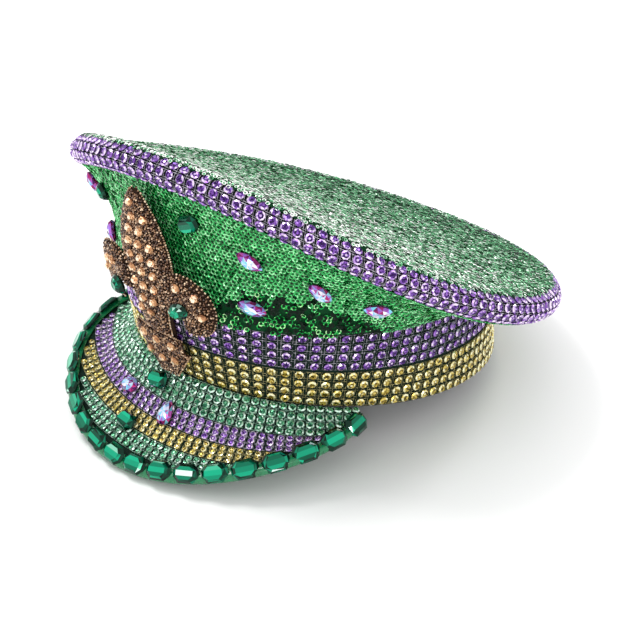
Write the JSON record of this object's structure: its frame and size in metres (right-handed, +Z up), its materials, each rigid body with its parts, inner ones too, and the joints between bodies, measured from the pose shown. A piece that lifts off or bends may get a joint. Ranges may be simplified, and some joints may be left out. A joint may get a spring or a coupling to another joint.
{
  "type": "peaked costume cap",
  "caption": "Peaked festival cap: a flared sequin crown on a wire hoop, a purple and gold rhinestone band, a jewelled visor and a beaded fleur-de-lis.",
  "frame": {"origin": "centre of the bounding box's bottom face, on the surface the cap rests on", "axes": "+Z up, -Y towards the visor's front, +X towards the wearer's left"},
  "size_m": [0.2648, 0.269, 0.1726],
  "materials": {
    "sequin_green": "cloth covered with overlapping metallic kelly-green cupped sequins",
    "rhinestone_purple": "purple rhinestone mesh, faceted and mirror backed",
    "rhinestone_gold": "gold rhinestone mesh, faceted and mirror backed",
    "rhinestone_mint": "pale green rhinestone mesh, faceted and mirror backed",
    "satin_green": "glossy green satin",
    "lining_black": "matt black cloth",
    "board_grey": "bare stiff board",
    "foam_white": "soft foam piping",
    "wire_steel": "plain spring wire",
    "bead_bronze": "bronze glass seed beads with peach rhinestones",
    "crystal_green": "faceted emerald acrylic, foil backed",
    "crystal_aurora": "faceted clear acrylic with an iridescent back"
  },
  "bodies": {
    "root": {"band_cover": "sequin_green", "band_ribbon_gold": "rhinestone_gold", "band_ribbon_purple": "rhinestone_purple", "band_stiffener": "board_grey", "crown_lining": "lining_black", "crown_side_left": "sequin_green", "crown_side_right": "sequin_green", "crown_stone_left_back": "crystal_aurora", "crown_stone_left_front": "crystal_aurora", "crown_stone_left_green": "crystal_green", "crown_stone_left_low": "crystal_aurora", "crown_stone_left_middle": "crystal_aurora", "crown_stone_right_green": "crystal_green", "crown_stone_right_high": "crystal_aurora", "crown_stone_right_low": "crystal_aurora", "crown_top_panel": "sequin_green", "fleur_backing": "lining_black", "fleur_centre_petal": "bead_bronze", "fleur_cross_band": "bead_bronze", "fleur_gem_left": "crystal_green", "fleur_gem_right": "crystal_green", "fleur_left_petal": "bead_bronze", "fleur_right_petal": "bead_bronze", "fleur_tail": "bead_bronze", "front_stay": "board_grey", "rim_rhinestone_strip": "rhinestone_purple", "rim_roll": "foam_white", "rim_wire_hoop": "wire_steel", "sweatband": "lining_black", "visor_binding": "satin_green", "visor_board": "board_grey", "visor_cover": "satin_green", "visor_edge_stone_01": "crystal_green", "visor_edge_stone_02": "crystal_green", "visor_edge_stone_03": "crystal_green", "visor_edge_stone_04": "crystal_green", "visor_edge_stone_05": "crystal_green", "visor_edge_stone_06": "crystal_green", "visor_edge_stone_07": "crystal_green", "visor_edge_stone_08": "crystal_green", "visor_edge_stone_09": "crystal_green", "visor_edge_stone_10": "crystal_green", "visor_edge_stone_11": "crystal_green", "visor_edge_stone_12": "crystal_green", "visor_edge_stone_13": "crystal_green", "visor_edge_stone_14": "crystal_green", "visor_edge_stone_15": "crystal_green", "visor_edge_stone_16": "crystal_green", "visor_edge_stone_17": "crystal_green", "visor_edge_stone_18": "crystal_green", "visor_edge_stone_19": "crystal_green", "visor_lining": "satin_green", "visor_stone_left": "crystal_aurora", "visor_stone_lower": "crystal_green", "visor_stone_right": "crystal_aurora", "visor_stone_upper": "crystal_green", "visor_strip_gold": "rhinestone_gold", "visor_strip_green_inner": "rhinestone_mint", "visor_strip_green_outer": "rhinestone_mint", "visor_strip_purple": "rhinestone_purple"}
  },
  "joints": []
}
